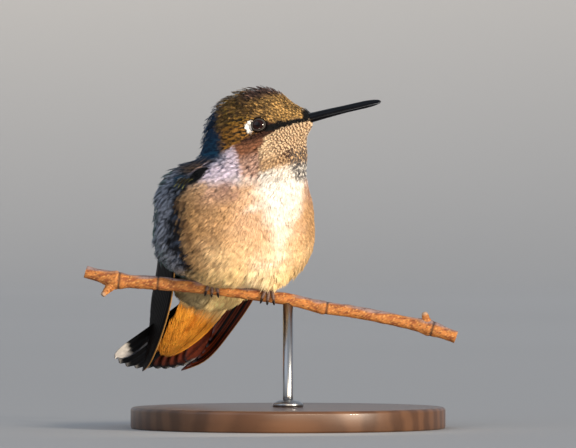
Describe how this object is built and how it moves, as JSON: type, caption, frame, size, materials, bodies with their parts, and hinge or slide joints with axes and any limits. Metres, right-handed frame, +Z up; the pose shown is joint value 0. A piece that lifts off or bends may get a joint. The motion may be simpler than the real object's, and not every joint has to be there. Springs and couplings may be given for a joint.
{
  "type": "hummingbird on a perch, still model",
  "caption": "Life-size fluffed hummingbird gripping a cut length of twig, head turned over its shoulder, held by a rod on a round wooden base.",
  "frame": {"origin": "centre of the underside of the stand's base, on the rod's axis", "axes": "+Z up along the rod, +X along the perch towards its lower, right-hand end, -Y towards the side that the breast faces"},
  "size_m": [0.088, 0.074, 0.0799],
  "materials": {
    "plumage_head": "soft bronze-olive feathers with dark centres",
    "plumage_neck": "soft pale grey and buff feathers",
    "plumage_body": "fluffed cream-buff and grey feathers",
    "plumage_legs": "loose white down",
    "undertail_coverts": "long soft orange-buff feathers",
    "tail_feathers": "smooth blackish vanes with pale tips on the outer ones",
    "wing_coverts": "small overlapping bronze-green feathers",
    "wing_feathers": "smooth dusky vanes with rusty edges",
    "bill": "satin horn",
    "eye": "wet gloss",
    "toes": "fine scales",
    "claws": "satin horn",
    "bark": "rough young bark",
    "stand_wood": "satin walnut",
    "stand_metal": "brushed"
  },
  "bodies": {
    "root": {"head": "plumage_head", "neck": "plumage_neck", "trunk": "plumage_body", "leg_right": "plumage_legs", "leg_left": "plumage_legs", "undertail_coverts": "undertail_coverts", "tail": "tail_feathers", "wing_right_coverts": "wing_coverts", "wing_left_coverts": "wing_coverts", "wing_right_primaries": "wing_feathers", "wing_left_primaries": "wing_feathers", "bill_upper": "bill", "bill_lower": "bill", "eye_right": "eye", "eye_left": "eye", "foot_right": "toes", "foot_left": "toes", "claw_right_1": "claws", "claw_right_2": "claws", "claw_right_3": "claws", "claw_right_4": "claws", "claw_left_1": "claws", "claw_left_2": "claws", "claw_left_3": "claws", "claw_left_4": "claws", "perch": "bark", "stand_base": "stand_wood", "stand_collar": "stand_metal", "stand_rod": "stand_metal"}
  },
  "joints": []
}
